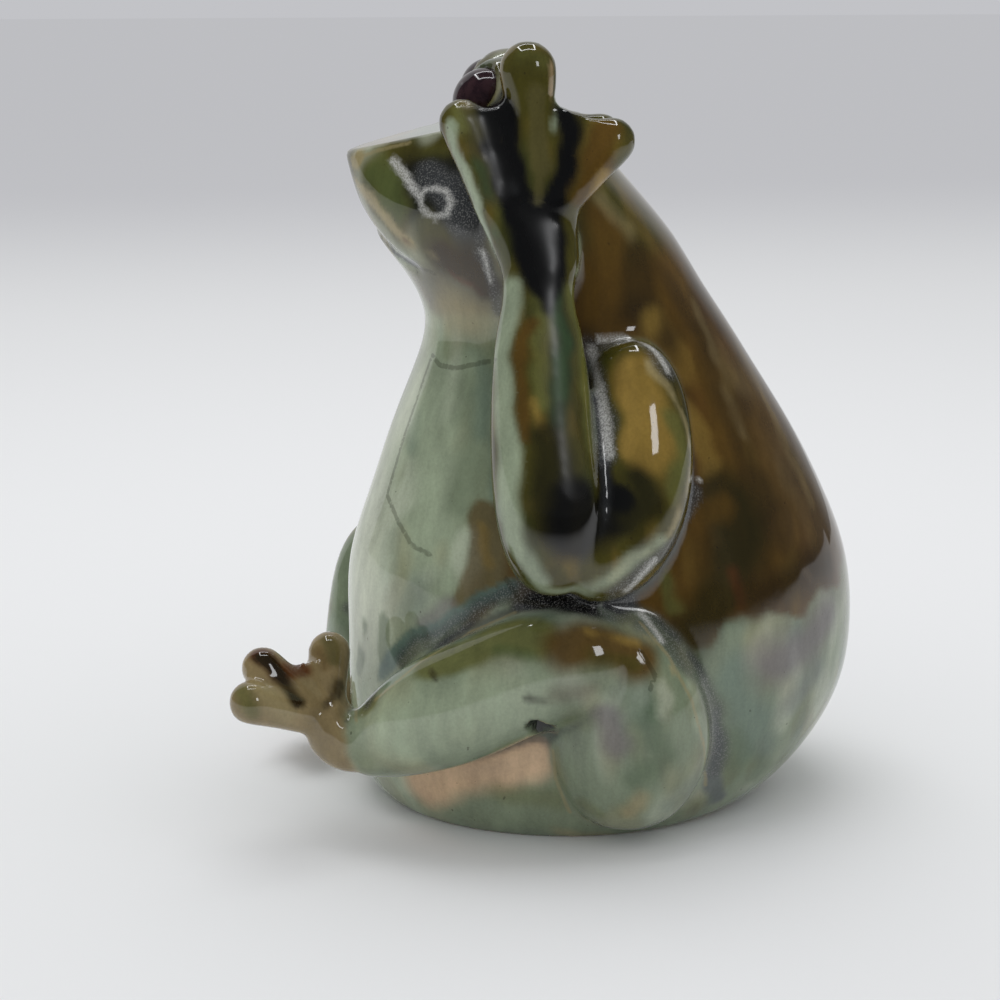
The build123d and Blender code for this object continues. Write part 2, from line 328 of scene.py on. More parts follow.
class Skin:
    """Points, edges and faces of the skin as arrays, for smoothing and painting."""

    def __init__(self, mesh):
        self.mesh = mesh
        count = len(mesh.vertices)
        flat = np.zeros(count * 3, np.float32)
        mesh.vertices.foreach_get("co", flat)
        self.points = flat.reshape(-1, 3).astype(float)
        ends = np.zeros(len(mesh.edges) * 2, np.int32)
        mesh.edges.foreach_get("vertices", ends)
        self.first, self.second = ends.reshape(-1, 2).T
        self.valence = np.bincount(ends, minlength=count).astype(float)

    def spread(self, values):
        """Mean of each point's neighbours."""
        count = len(self.points)
        columns = []
        for column in values.reshape(count, -1).T:
            total = np.bincount(self.first, column[self.second], count)
            total += np.bincount(self.second, column[self.first], count)
            columns.append(total / self.valence)
        return np.stack(columns, 1).reshape(values.shape)

    def normals(self):
        self.store()
        flat = np.zeros(len(self.points) * 3, np.float32)
        self.mesh.vertex_normals.foreach_get("vector", flat)
        return flat.reshape(-1, 3).astype(float)

    def store(self):
        self.mesh.vertices.foreach_set("co", self.points.astype(np.float32).ravel())
        self.mesh.update()

    def relax(self, rounds):
        """Takes the voxel steps out and keeps the volume."""
        for _ in range(rounds):
            for amount in (0.5, -0.52):
                self.points += (self.spread(self.points) - self.points) * amount

    def ease(self, mask, rounds, amounts):
        """Stronger smoothing where the mask is 1."""
        for _ in range(rounds):
            for amount in amounts:
                self.points += (self.spread(self.points) - self.points) * (amount * mask[:, None])

    def fill_creases(self, rounds, least):
        """Glaze runs into the creases: hollow places rise, the rest stays."""
        start = self.points.copy()
        for turn in range(rounds):
            if turn % 4 == 0:
                normals = self.normals()
            pull = self.spread(self.points) - self.points
            rise = (pull * normals).sum(1)
            level = pull - normals * rise[:, None]
            self.points += normals * np.maximum(rise - least, 0)[:, None] * 0.9 + level * 0.3
        return ((self.points - start) * self.normals()).sum(1)


def smooth_step(values, low, high):
    share = np.clip((values - low) / (high - low), 0, 1)
    return share * share * (3 - 2 * share)


def make_skin():
    """The skin, and how far the glaze has risen in its creases."""
    mesh = fused_mesh()
    keep_largest_shell(mesh)
    skin = Skin(mesh)
    skin.relax(6)
    # Masks by place in millimetres: the hands beside the head, and the wrists under them
    x, _, z = skin.points.T / MM
    sides = smooth_step(np.abs(x), 17, 20)
    hands = smooth_step(z, 66, 72) * sides * smooth_step(100 - z, -4, 4)
    wrists = smooth_step(z, 72, 78) * sides * smooth_step(90 - z, 0, 6)
    skin.ease(hands, HAND_ROUNDS, (0.5, -0.48))
    skin.ease(wrists, WRIST_ROUNDS, (0.5,))
    risen = skin.fill_creases(CREASE_ROUNDS, 0.02 * MM)
    skin.relax(3)
    skin.store()
    return skin, np.maximum(risen, 0)


# Painting: strokes of glaze

class Painter:
    """Lays colours on the points of the skin."""

    def __init__(self, skin):
        self.skin = skin
        self.points = skin.points
        self.normals = skin.normals()
        self.tree = BVHTree.FromPolygons(
            [Vector(p) for p in skin.points], [list(p.vertices) for p in skin.mesh.polygons]
        )
        self.piece = self.nearest_pieces()
        self.folded = self.fold(self.points)
        self.colour = np.tile(GLAZE["celadon"], (len(self.points), 1))
        # Strokes wander by this much, so that their edges look run
        self.drift = self.noise_vectors(9 * MM, 1) * 1.6 * MM + self.noise_vectors(3 * MM, 2) * 0.6 * MM
        self.moved = self.folded + self.drift

    def nearest_pieces(self):
        """Number of the CAD node that each point lies on."""
        points, faces, owner = [], [], []
        for number, name in enumerate(SKIN_NODES):
            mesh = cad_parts[name].data
            start = len(points)
            points += [v.co.copy() for v in mesh.vertices]
            faces += [[start + i for i in p.vertices] for p in mesh.polygons]
            owner += [number] * len(mesh.polygons)
        tree = BVHTree.FromPolygons(points, faces)
        found = [tree.find_nearest(Vector(p))[2] for p in self.points]
        return np.array(owner)[found]

    def on(self, *names):
        """1 on the named pieces, with a soft edge of about a millimetre."""
        wanted = [number for number, name in enumerate(SKIN_NODES) if any(name.endswith(n) for n in names)]
        mask = np.isin(self.piece, wanted).astype(float)
        for _ in range(3):
            mask = (mask + self.skin.spread(mask)) / 2
        return mask

    def fold(self, points):
        """Far-side points brought to the same place on the near side."""
        turn = -HEAD_TURN * np.clip((points[:, 2] - TURN_START) / (TURN_END - TURN_START), 0, 1)
        x = points[:, 0] * np.cos(turn) + points[:, 1] * np.sin(turn)
        y = -points[:, 0] * np.sin(turn) + points[:, 1] * np.cos(turn)
        x = np.abs(x)
        front_x = x * np.cos(turn) - y * np.sin(turn)
        front_y = x * np.sin(turn) + y * np.cos(turn)
        return np.stack([front_x, front_y, points[:, 2]], 1)

    def noise_vectors(self, size, seed):
        shift = Vector((seed * 7.3, seed * 3.1, seed * 5.7))
        return np.array([noise.noise_vector(Vector(p) / size + shift) for p in self.points])

    def noise_values(self, size, seed, run=1.0):
        """Noise about 0; run is how much longer its patches are than wide."""
        shift = Vector((seed * 4.3, seed * 8.1, seed * 2.7))
        scaled = self.points * np.array([1, 1, 1 / run]) / size
        return np.array([noise.noise(Vector(p) + shift) for p in scaled])

    def place_of(self, spot):
        """A picture point's place on the near side, or a place in millimetres."""
        if len(spot) == 3:
            return np.array(spot) * MM
        sight = ray_through(spot)
        hit = self.tree.ray_cast(EYE_POINT, sight)[0]
        if hit is None:
            # The sight line passes the frog by: take the skin's nearest place to it
            steps = [EYE_POINT + sight * (0.28 + 0.002 * step) for step in range(80)]
            hit = min((self.tree.find_nearest(step) for step in steps), key=lambda found: found[3])[0]
        return np.array(hit)

    def near(self, spots, step=1000, drift=1.0):
        """Distance of each point from a line of spots, laid on the skin every step of picture points."""
        points = self.folded + self.drift * drift
        close = [spots[0]]
        for start, end in zip(spots, spots[1:]):
            length = sum((b - a) ** 2 for a, b in zip(start, end)) ** 0.5
            parts = max(1, round(length / step))
            for part in range(1, parts + 1):
                close.append(tuple(a + (b - a) * part / parts for a, b in zip(start, end)))
        places = [self.place_of(spot) for spot in close]
        best = np.linalg.norm(points - places[0], axis=1)
        for start, end in zip(places, places[1:]):
            along = end - start
            share = np.clip((points - start) @ along / max(along @ along, 1e-12), 0, 1)
            away = points - start - share[:, None] * along
            best = np.minimum(best, np.linalg.norm(away, axis=1))
        return best

    def blend(self, name, mask):
        mask = np.clip(mask, 0, 1)[:, None]
        self.colour = self.colour * (1 - mask) + GLAZE[name] * mask

    def beside(self, spots, full, gone, drift=1.0):
        """1 within full millimetres of a line of spots, 0 from gone millimetres on."""
        return 1 - smooth_step(self.near(spots, drift=drift), full * MM, gone * MM)

    def stroke(self, name, radius, soft, strength, pieces, spots):
        """Soft-edged stroke: full within radius less soft, gone at radius, both in millimetres."""
        mask = self.beside(spots, radius * (1 - soft), radius)
        if pieces:
            mask = mask * self.on(*pieces)
        self.blend(name, mask * strength)

    def clouds(self, table, mask, low, run):
        """Patches of the colours of a table within the mask."""
        for name, size, seed, strength in table:
            patches = smooth_step(self.noise_values(size * MM, seed, run), low, 0.5)
            self.blend(name, mask * patches * strength)

    def trails(self, table, core, drift=1.0):
        """1 along the lines of a table, full within the core's share of each radius."""
        mask = np.zeros(len(self.points))
        for radius, spots in table:
            mask = np.maximum(mask, self.beside(spots, radius * core, radius, drift))
        return mask

    def thin_lines(self, group):
        """Distance in millimetres from the nearest line of a group, up to LINE_REACH."""
        away = [self.near(spots, LINE_STEP, LINE_DRIFT) for spots in group]
        return np.minimum(np.minimum.reduce(away) / MM, LINE_REACH)


ARM, HAND, HEAD, TORSO = ("arm",), ("hand",), ("head",), ("torso",)
LEG, FOOT, BODY = ("left_leg",), ("foot",), ("torso", "head")

# Glaze strokes in the order that they are laid: colour, radius in millimetres, softness, strength,
# pieces and the points of the picture, or places in millimetres, that the stroke goes through
STROKES = [
    # Back
    ("taupe", 20, 0.95, 0.75, BODY, [(680, 230), (730, 320), (790, 430), (830, 520)]),
    ("taupe", 12, 0.95, 0.5, BODY, [(2, 30, 90), (0, 44, 60), (0, 47, 45)]),
    ("amber", 5, 0.6, 0.9, BODY, [(605, 225), (605, 270), (620, 315)]),
    ("brown", 4.5, 0.7, 0.8, BODY, [(635, 260), (645, 300)]),
    ("umber", 5, 0.9, 0.7, BODY, [(640, 310), (668, 345)]),
    ("ochre", 2.8, 0.8, 0.6, BODY, [(652, 315), (672, 370), (692, 420), (712, 470)]),
    ("brown", 3.5, 0.9, 0.6, BODY, [(700, 330), (735, 420), (760, 500)]),
    ("khaki", 2.2, 0.9, 0.35, BODY, [(740, 350), (780, 430), (810, 500)]),
    ("khaki", 1.6, 0.9, 0.3, BODY, [(690, 300), (720, 370), (745, 440)]),
    ("deep_olive", 6, 0.7, 0.8, TORSO, [(720, 500), (745, 540), (720, 600), (690, 630)]),
    ("amber", 2.6, 0.8, 0.7, TORSO, [(705, 512), (725, 512)]),
    ("rust", 2.0, 0.9, 0.5, TORSO, [(735, 570), (745, 610)]),
    ("umber", 6, 0.9, 0.8, TORSO, [(760, 600), (800, 575), (825, 560)]),
    ("taupe", 1.6, 0.9, 0.6, TORSO, [(804, 574), (808, 578)]),
    ("moss", 1.7, 0.9, 0.8, TORSO, [(672, 575), (674, 605)]),
    # Painted reflection: a faint pale streak of lamp light on the back beside the hand
    ("tan", 3.0, 0.9, 0.35, BODY, [(605, 200), (630, 230)]),
    # Below the drip line
    ("sea", 6, 0.8, 0.5, TORSO, [(735, 680), (760, 740)]),
    ("lilac", 6, 0.9, 0.8, TORSO, [(770, 665), (805, 645), (825, 620)]),
    ("slate", 4, 0.9, 0.5, TORSO, [(790, 700), (815, 670)]),
    ("leaf", 4, 0.9, 0.4, TORSO, [(730, 745), (760, 770)]),
    ("slate", 2.2, 0.7, 0.8, TORSO, [(712, 720), (716, 760), (716, 795)]),
    # Belly
    ("pale_celadon", 13, 0.8, 0.95, TORSO, [(380, 450), (362, 540), (362, 610)]),
    ("pale_celadon", 7, 0.9, 0.85, BODY, [(425, 330), (405, 420)]),
    ("celadon", 5, 0.8, 0.9, TORSO, [(440, 390), (435, 450), (425, 520)]),
    ("grey_green", 4.0, 0.8, 0.9, TORSO, [(470, 380), (475, 440), (462, 500)]),
    ("sea", 2.4, 0.9, 0.35, TORSO, [(478, 370), (476, 440)]),
    ("amber", 4.0, 0.35, 0.75, TORSO, [(494, 520), (492, 560), (470, 600)]),
    ("ochre", 1.6, 0.8, 0.4, TORSO, [(488, 530), (486, 560)]),
    ("lilac", 2.4, 0.8, 0.6, TORSO, [(445, 600), (425, 622)]),
    ("grey_green", 1.7, 0.4, 0.9, TORSO, [(366, 628), (358, 665)]),
    ("grey_green", 1.6, 0.4, 0.9, TORSO, [(386, 620), (382, 662)]),
    ("sea", 1.7, 0.6, 0.85, TORSO, [(380, 672), (410, 645), (450, 616), (505, 586)]),
    # Body under the shin
    ("ink", 1.7, 0.7, 0.8, TORSO, [(628, 600), (658, 622), (690, 662), (706, 700)]),
    ("grey_green", 12, 0.8, 0.9, TORSO, [(470, 800), (560, 820), (640, 845)]),
    ("blush", 5.5, 0.75, 1.0, TORSO, [(425, 782), (460, 775), (500, 765), (530, 755)]),
    ("blush", 3.0, 0.6, 0.9, TORSO, [(520, 748), (536, 742)]),
    ("moss", 3.5, 0.9, 0.5, TORSO, [(500, 795), (560, 795)]),
    ("tan", 2.5, 0.9, 0.5, TORSO, [(560, 833), (610, 838)]),
    # Head
    ("taupe", 8, 0.7, 0.7, HEAD, [(430, 290), (475, 290)]),
    ("grey_green", 7, 0.7, 0.9, HEAD, [(395, 135), (425, 132)]),
    ("khaki", 4, 0.8, 0.8, HEAD, [(370, 143), (395, 140)]),
    ("ink", 7.5, 0.6, 0.9, HEAD, [(415, 185), (445, 180), (462, 215)]),
    ("olive", 6, 0.7, 0.9, HEAD, [(430, 245), (470, 250)]),
    ("brown", 5, 0.8, 0.9, HEAD, [(440, 258), (474, 258)]),
    ("moss", 3.6, 0.8, 0.7, HEAD, [(374, 172), (386, 188), (396, 205)]),
    ("leaf", 3.2, 0.8, 0.35, HEAD, [(374, 176), (386, 190), (392, 205)]),
    ("gunmetal", 4.5, 0.8, 0.8, HEAD, [(430, 175), (452, 195), (470, 225)]),
    ("tan", 1.6, 0.6, 0.95, HEAD, [(352, 158), (362, 152)]),
    ("tan", 1.5, 0.7, 0.85, HEAD, [(354, 178), (368, 196), (388, 220), (410, 242), (436, 258)]),
    ("rust", 0.9, 0.9, 0.6, HEAD, [(398, 232), (412, 244)]),
    ("rust", 1.2, 0.8, 0.7, HEAD, [(436, 256), (446, 266)]),
    ("slate", 0.9, 0.6, 0.9, HEAD, [(357, 198), (372, 222), (392, 246), (418, 264), (440, 272)]),
    ("tan", 2.2, 0.8, 0.6, HEAD, [(366, 228), (388, 258), (410, 285)]),
    ("tan", 5, 0.9, 0.6, BODY, [(448, 310), (475, 320)]),
    ("brown", 3.4, 0.45, 0.95, BODY, [(448, 258), (470, 268), (484, 284)]),
    ("rust", 1.0, 0.8, 0.6, BODY, [(440, 262), (456, 280), (478, 292)]),
    # Upper arm and forearm
    ("celadon", 2.6, 0.7, 0.95, ARM, [
        (508, 290), (503, 340), (499, 400), (501, 450), (508, 500), (520, 545), (540, 580),
    ]),
    ("moss", 2.6, 0.8, 0.9, ARM, [(573, 295), (581, 350), (590, 400), (594, 445)]),
    ("celadon", 1.2, 0.8, 0.7, ARM, [(577, 295), (586, 345), (596, 395), (600, 440)]),
    ("bottle", 2.4, 0.8, 0.95, ARM, [(556, 288), (558, 330), (562, 380), (560, 420)]),
    ("moss", 2.0, 0.8, 0.8, ARM, [(536, 300), (540, 350), (542, 400)]),
    ("gold", 1.5, 0.9, 0.5, ARM, [(530, 395), (536, 425)]),
    ("leaf", 1.6, 0.9, 0.7, ARM, [(556, 300), (560, 350), (563, 395)]),
    ("amber", 1.7, 0.8, 0.9, ARM, [(526, 325), (520, 360), (518, 400), (517, 440)]),
    ("deep_olive", 4.6, 0.7, 0.9, ARM, [(545, 440), (548, 480), (556, 520)]),
    ("ink", 5.0, 0.6, 0.95, ARM, [(575, 500), (572, 530), (585, 535), (612, 515)]),
    ("ochre", 5.0, 0.6, 0.95, ARM, [(640, 375), (650, 410), (655, 450)]),
    ("gold", 1.9, 0.8, 0.9, ARM, [(632, 365), (634, 410), (632, 450)]),
    ("moss", 2.0, 0.8, 0.8, ARM, [(672, 420), (680, 460), (676, 490)]),
    ("tan", 0.9, 0.8, 0.7, ARM, [
        (652, 362), (672, 390), (686, 430), (688, 475), (676, 515), (650, 552), (610, 582),
    ]),
    ("deep_olive", 3.2, 0.8, 0.9, ARM, [(640, 480), (655, 500), (630, 520)]),
    ("ink", 2.2, 0.6, 0.95, ARM, [(603, 470), (606, 500), (625, 505)]),
    ("celadon", 1.8, 0.9, 0.7, ARM, [(545, 590), (590, 590), (630, 570), (660, 540)]),
    # Hand
    ("ink", 3.1, 0.4, 1.0, HAND, [(493, 108), (499, 150), (511, 185), (526, 215)]),
    ("ink", 2.6, 0.7, 1.0, HAND, [(566, 112), (572, 135), (570, 160), (560, 190), (550, 220)]),
    ("ink", 1.6, 0.6, 1.0, HAND, [(570, 120), (571, 160), (556, 205)]),
    ("ink", 4.5, 0.35, 1.0, ("arm", "hand"), [(537, 215), (541, 245), (543, 275)]),
    ("ink", 2.4, 0.7, 0.95, ("arm", "hand"), [(543, 270), (545, 305)]),
    ("strip", 2.0, 0.5, 0.95, HAND, [(534, 95), (536, 130), (539, 160)]),
    ("strip", 1.2, 0.8, 0.9, HAND, [(539, 160), (541, 195)]),
    ("celadon", 1.0, 0.9, 0.6, HAND, [(556, 100), (553, 130)]),
    ("olive", 2.6, 0.7, 0.9, HAND, [(466, 115), (474, 140)]),
    ("moss", 2.0, 0.8, 0.9, HAND, [(455, 112), (460, 130)]),
    ("celadon", 1.5, 0.7, 0.95, HAND, [(450, 135), (462, 165), (478, 200), (490, 235), (500, 268)]),
    ("leaf", 1.2, 0.9, 0.6, HAND, [(478, 165), (492, 200), (503, 240)]),
    ("amber", 3.3, 0.6, 0.95, HAND, [(609, 138), (600, 165), (590, 190)]),
    ("gold", 1.6, 0.9, 0.8, HAND, [(604, 172), (592, 192)]),
    ("lilac", 1.3, 0.8, 0.8, HAND, [(628, 150), (616, 180), (600, 202), (588, 230)]),
    ("celadon", 1.2, 0.8, 0.8, HAND, [(580, 240), (578, 270)]),
    ("moss", 2.0, 0.9, 0.5, HAND, [(520, 60), (540, 62)]),
    ("blush", 1.0, 0.9, 0.5, HAND, [(550, 65), (552, 95)]),
    # Leg
    ("celadon", 9, 0.9, 0.6, LEG, [(380, 730), (480, 710)]),
    ("celadon", 7, 0.8, 0.8, LEG, [(400, 735), (470, 715), (530, 700)]),
    ("moss", 4.2, 0.5, 0.9, LEG, [(430, 662), (490, 642), (535, 635)]),
    ("leaf", 1.6, 0.9, 0.35, LEG, [(500, 655), (530, 655)]),
    ("amber", 5.2, 0.7, 0.95, LEG, [(568, 645), (600, 640), (635, 655)]),
    ("gold", 1.4, 0.9, 0.6, LEG, [(590, 632), (630, 634)]),
    ("olive", 2.0, 0.8, 0.7, LEG, [(590, 655), (630, 660)]),
    ("tan", 0.7, 0.8, 0.8, LEG, [(352, 700), (395, 670), (440, 642), (480, 622), (520, 614)]),
    ("tan", 0.7, 0.8, 0.7, LEG, [(640, 628), (665, 655), (690, 700), (703, 745)]),
    ("moss", 1.6, 0.6, 0.8, LEG, [(345, 722), (375, 700)]),
    ("taupe", 3.0, 0.9, 0.5, LEG, [(560, 690), (585, 690)]),
    ("lilac", 3.4, 0.8, 0.75, LEG, [(612, 720), (618, 750)]),
    ("leaf", 3.4, 0.8, 0.5, LEG, [(655, 720), (665, 760), (640, 785)]),
    ("pale_celadon", 2.2, 0.8, 0.5, LEG, [(662, 690), (668, 705)]),
    ("celadon", 2.2, 0.8, 0.8, LEG, [(700, 720), (704, 770), (680, 815)]),
    ("tan", 2.4, 0.8, 0.7, LEG, [(632, 812), (645, 805)]),
    ("moss", 2.0, 0.9, 0.5, LEG, [(580, 800), (600, 815)]),
    ("moss", 1.0, 0.8, 0.8, LEG, [(553, 760), (560, 800), (580, 825)]),
    # Painted shade: black in the pit at the crook of the knee
    ("ink", 1.7, 0.5, 1.0, (), [(541, 722), (550, 728)]),
    ("deep_olive", 1.3, 0.7, 0.85, LEG, [(528, 696), (548, 699)]),
    ("umber", 0.9, 0.8, 0.7, LEG, [(430, 670), (434, 680)]),
    # Far leg
    ("sea", 10, 0.8, 0.9, ("right_leg",), [(-26, -20, 36), (-28, -10, 30)]),
    ("moss", 7, 0.6, 0.9, ("right_leg",), [(-25, -24, 22), (-24, -26, 14)]),
    # Feet
    ("tan", 3.0, 0.8, 0.6, FOOT, [(262, 690), (290, 715)]),
    ("rust", 2.2, 0.7, 0.95, FOOT, [(266, 655), (280, 672), (300, 668)]),
    ("umber", 1.7, 0.6, 1.0, FOOT, [(270, 662), (284, 680), (302, 702)]),
    ("moss", 2.2, 0.8, 0.7, FOOT, [(238, 695), (250, 712)]),
    ("strip", 2.0, 0.8, 0.8, FOOT, [(330, 640), (332, 660)]),
    ("amber", 1.4, 0.9, 0.6, FOOT, [(318, 650), (322, 670)]),
    ("umber", 1.6, 0.8, 0.8, FOOT, [(338, 690), (330, 705)]),
]

# Places where the glaze has pooled with a metal sheen: radius in millimetres, then the points
METAL = [
    (2.6, [(590, 345), (598, 380), (604, 420), (607, 455)]),
    (1.8, [(595, 345), (625, 341), (650, 350), (672, 375)]),
    (1.9, [(694, 490), (686, 515), (668, 545), (640, 575), (622, 592)]),
    (2.8, [(622, 592), (655, 622), (688, 665), (712, 715), (718, 765)]),
    (3.0, [(520, 600), (560, 604), (590, 604), (625, 597)]),
    (1.9, [(515, 588), (450, 626), (400, 668), (372, 698)]),
    (3.6, [(425, 172), (448, 188), (462, 215)]),
    (1.4, [(482, 235), (490, 270), (494, 310)]),
]

# Painted glints: bright silver flecks painted where the lamps and the window are mirrored on the metal
# sheen, with a lamp's ring and streak painted on the cheek; radius in millimetres, then the points, as the
# metal places
PAINTED_GLINTS = [
    (1.1, [(592, 350), (601, 390), (607, 430), (610, 455)]),
    (0.8, [(600, 338), (625, 337), (648, 346), (668, 370)]),
    (0.6, [(690, 478), (700, 480)]),
    (0.9, [(655, 560), (640, 578), (628, 590)]),
    (1.0, [(392, 162), (405, 178), (420, 198)]),
    (0.7, [
        (434, 187), (446, 191), (451, 202), (446, 213), (434, 217),
        (422, 211), (419, 200), (424, 190), (434, 187),
    ]),
    (0.6, [(484, 250), (490, 280)]),
    (0.8, [(640, 610), (662, 640)]),
]

# Where the glaze is duller, as the metal places
SATIN = [
    (4, [(553, 290), (560, 350), (567, 410), (573, 480)]),
    (4, [(540, 210), (548, 270)]),
    (4, [(478, 115), (488, 150), (497, 190)]),
]

# The slot under the elbow, painted black as shade in the gap, and the pit at the crook of the knee
ELBOW_SLOT_SHADE = [(530, 601), (565, 605), (600, 602)]
KNEE_CROOK = [(543, 723), (549, 727)]
PIT_DEPTH = 1.6 * MM

# Runs and clouds in the glaze: colour, width in millimetres, seed and strength
PALE_CLOUDS = [
    ("pale_celadon", 6, 11, 0.40), ("sea", 7, 12, 0.35), ("tan", 6, 13, 0.30), ("moss", 5, 14, 0.30),
]
BACK_RUNS = [
    ("umber", 6, 15, 0.45), ("ochre", 4.5, 16, 0.30), ("khaki", 7, 17, 0.25), ("rust", 6, 18, 0.20),
]
ARM_RUNS = [("ochre", 3, 19, 0.35), ("bottle", 4, 20, 0.35), ("umber", 3.5, 21, 0.3)]

# Thin lines in the glaze: dark where two glazes meet, pale where it runs off an edge
LINE_STEP, LINE_DRIFT, LINE_REACH = 9, 0.08, 9.0
DARK_LINES = [
    [(432, 355), (440, 365), (455, 368), (480, 363), (496, 360)],
    [(430, 360), (415, 405), (400, 450), (387, 495), (398, 522), (412, 545), (430, 555)],
    [(352, 196), (368, 222), (390, 248), (416, 266), (436, 274)],
    [(505, 578), (520, 600), (545, 606)],
    [(640, 650), (655, 675), (650, 690)],
]
PALE_LINES = [
    [(375, 700), (420, 662), (470, 632), (515, 613)],
    [(640, 622), (668, 655), (692, 700), (704, 745), (706, 785)],
    [(352, 160), (380, 150), (410, 143)],
    [(356, 180), (372, 204), (394, 228), (414, 243)],
    [(357, 700), (357, 722)],
    [(553, 750), (556, 780), (570, 812)],
]


def lay_base_coats(brush):
    """Celadon in front, brown behind down to the drip line, grey-green below it."""
    _, y, z = brush.moved.T / MM
    drops = brush.noise_values(7 * MM, 3) * 4 + brush.noise_values(2.5 * MM, 4) * 1.5
    body = brush.on("torso", "head")
    brush.blend("celadon", body)
    brush.blend("grey_green", body * smooth_step(y, -22, -12) * 0.8)
    drip = z + drops - 25 - 0.2 * np.maximum(y, 0)
    behind = body * smooth_step(y + drops * 0.5, -12, -8) * smooth_step(drip, 0, 2.5)
    brush.blend("amber", behind)
    brush.blend("brown", behind * smooth_step(brush.noise_values(12 * MM, 6), 0.0, 0.4) * 0.7)
    brush.blend("grey_green", body * smooth_step(y, -8, 4) * smooth_step(1.5 - drip, 0, 3))
    brush.blend("olive", brush.on("head") * smooth_step(z, 80, 86))
    brush.blend("olive", brush.on("arm", "hand"))
    brush.blend("grey_green", brush.on("leg"))
    brush.blend("khaki", brush.on("foot"))
    return body, behind


def pool_in_creases_and_shade_slot(brush, risen, metal):
    """Dark glaze where it has risen in the creases, darkest under the metal sheen; black painted shade in
    the slot under the elbow.
    """
    pooled = smooth_step(risen, 0.06 * MM, 0.5 * MM)
    brush.blend("gunmetal", pooled * 0.7)
    brush.blend("gunmetal", metal * (0.6 + 0.4 * pooled))
    brush.blend("ink", metal * smooth_step(risen, 0.3 * MM, 0.9 * MM) * 0.6)
    # Painted shade: black in the gap under the elbow
    brush.blend("ink", brush.beside(ELBOW_SLOT_SHADE, 0.8, 1.8))


def store_glaze(brush, values_of):
    """Writes the colours and the named values onto the mesh."""
    mesh = brush.skin.mesh
    layer = mesh.color_attributes.new("glaze", "FLOAT_COLOR", "POINT")
    rgba = np.concatenate([brush.colour, np.ones((len(brush.colour), 1))], 1)
    layer.data.foreach_set("color", rgba.astype(np.float32).ravel())
    for name, values in values_of.items():
        mesh.attributes.new(name, "FLOAT", "POINT").data.foreach_set("value", values.astype(np.float32))


def press_knee_pit(brush):
    pit = brush.beside(KNEE_CROOK, 0.3, 1.8)
    brush.skin.points -= brush.normals * (pit * PIT_DEPTH)[:, None]
    brush.skin.store()


def paint(skin, risen):
    brush = Painter(skin)
    body, behind = lay_base_coats(brush)
    brush.clouds(PALE_CLOUDS, np.maximum(brush.on("leg"), body * (1 - behind)), 0.08, 1.6)
    brush.clouds(BACK_RUNS, behind, 0.1, 3.0)
    brush.clouds(ARM_RUNS, brush.on("arm", "hand"), 0.1, 2.5)
    for stroke in STROKES:
        brush.stroke(*stroke)
    metal = brush.trails(METAL, 0.4)
    pool_in_creases_and_shade_slot(brush, risen, metal)
    # The foot that the frog stands on is wiped bare
    bare = ((skin.points[:, 2] < 0.35 * MM) & (brush.normals[:, 2] < -0.9)).astype(float)
    brush.blend("clay", bare)
    store_glaze(brush, {
        "metal": metal,
        # Painted highlights: silver flecks that stand in for lamp reflections
        "painted_glint": brush.trails(PAINTED_GLINTS, 0.3, drift=0.25),
        "bare": bare,
        "satin": brush.trails(SATIN, 0.375) * brush.on("hand", "arm"),
        "dark_line": brush.thin_lines(DARK_LINES),
        "pale_line": brush.thin_lines(PALE_LINES),
    })
    press_knee_pit(brush)


# Finishes

def glaze_material():
    shader = Shader("drip_glaze")
    place = shader.place()
    base = shader.attribute("glaze", "Color")
    flow = shader.node("Mapping", Vector=place, Scale=(1.0, 1.0, 0.35))
    mottle = shader.noise(flow, 2.4 * MM, 4, 0.6)
    fine = shader.noise(place, 0.45 * MM, 3, 0.65)
    grain = shader.noise(place, 0.22 * MM, 3)
    streak = shader.noise(flow, 6.5 * MM, 3, 0.55)
    tone = (mottle - 0.5) * 0.6 + (fine - 0.5) * 0.35 + (streak - 0.5) * 0.8 + 1.0
    shade = shader.node("CombineColor", Red=tone, Green=tone, Blue=tone)
    base = shader.mix(1.0, base, shade, "MULTIPLY")
    pinholes = shader.noise(place, 0.9 * MM, 1).step(0.76, 0.80) * 0.5
    base = shader.mix(pinholes, base, GLAZE["umber"])
    wander = (fine - 0.5) * 0.25
    dark_line = 1.0 - (shader.attribute("dark_line") + wander).step(0.28, 0.46)
    base = shader.mix(dark_line * 0.4, base, GLAZE["deep_olive"])
    pale_line = 1.0 - (shader.attribute("pale_line") + wander).step(0.12, 0.50)
    base = shader.mix(pale_line * 0.55, base, GLAZE["tan"])
    metal = shader.attribute("metal")
    painted_glint = shader.attribute("painted_glint")
    base = shader.mix(grain.step(0.50, 0.66) * metal * 0.2, base, GLAZE["silver"])
    # Painted glints: silver flecks that stand in for lamp reflections
    base = shader.mix((grain.step(0.38, 0.62) * 0.5 + 0.4) * painted_glint, base, GLAZE["silver"])
    ripple = shader.noise(place, 6 * MM, 2)
    height = ripple + grain * (metal + painted_glint) * 0.12 - dark_line * 0.15
    bump = shader.node("Bump", Strength=0.3, Distance=0.10 * MM, Height=height)
    bare = shader.attribute("bare")
    rough = 0.06 + bare * 0.6 + metal * 0.10 + shader.attribute("satin") * 0.26
    shader.principled(Base_Color=base, Roughness=rough, Normal=bump, IOR=1.62)
    return shader.material


def eye_material():
    shader = Shader("plum_glaze")
    place = shader.place()
    mottle = shader.noise(place, 1.4 * MM, 3)
    base = shader.mix(mottle.step(0.35, 0.7), GLAZE["plum"], colour(34, 20, 26))
    shader.principled(Base_Color=base, Roughness=0.08, IOR=1.52)
    return shader.material


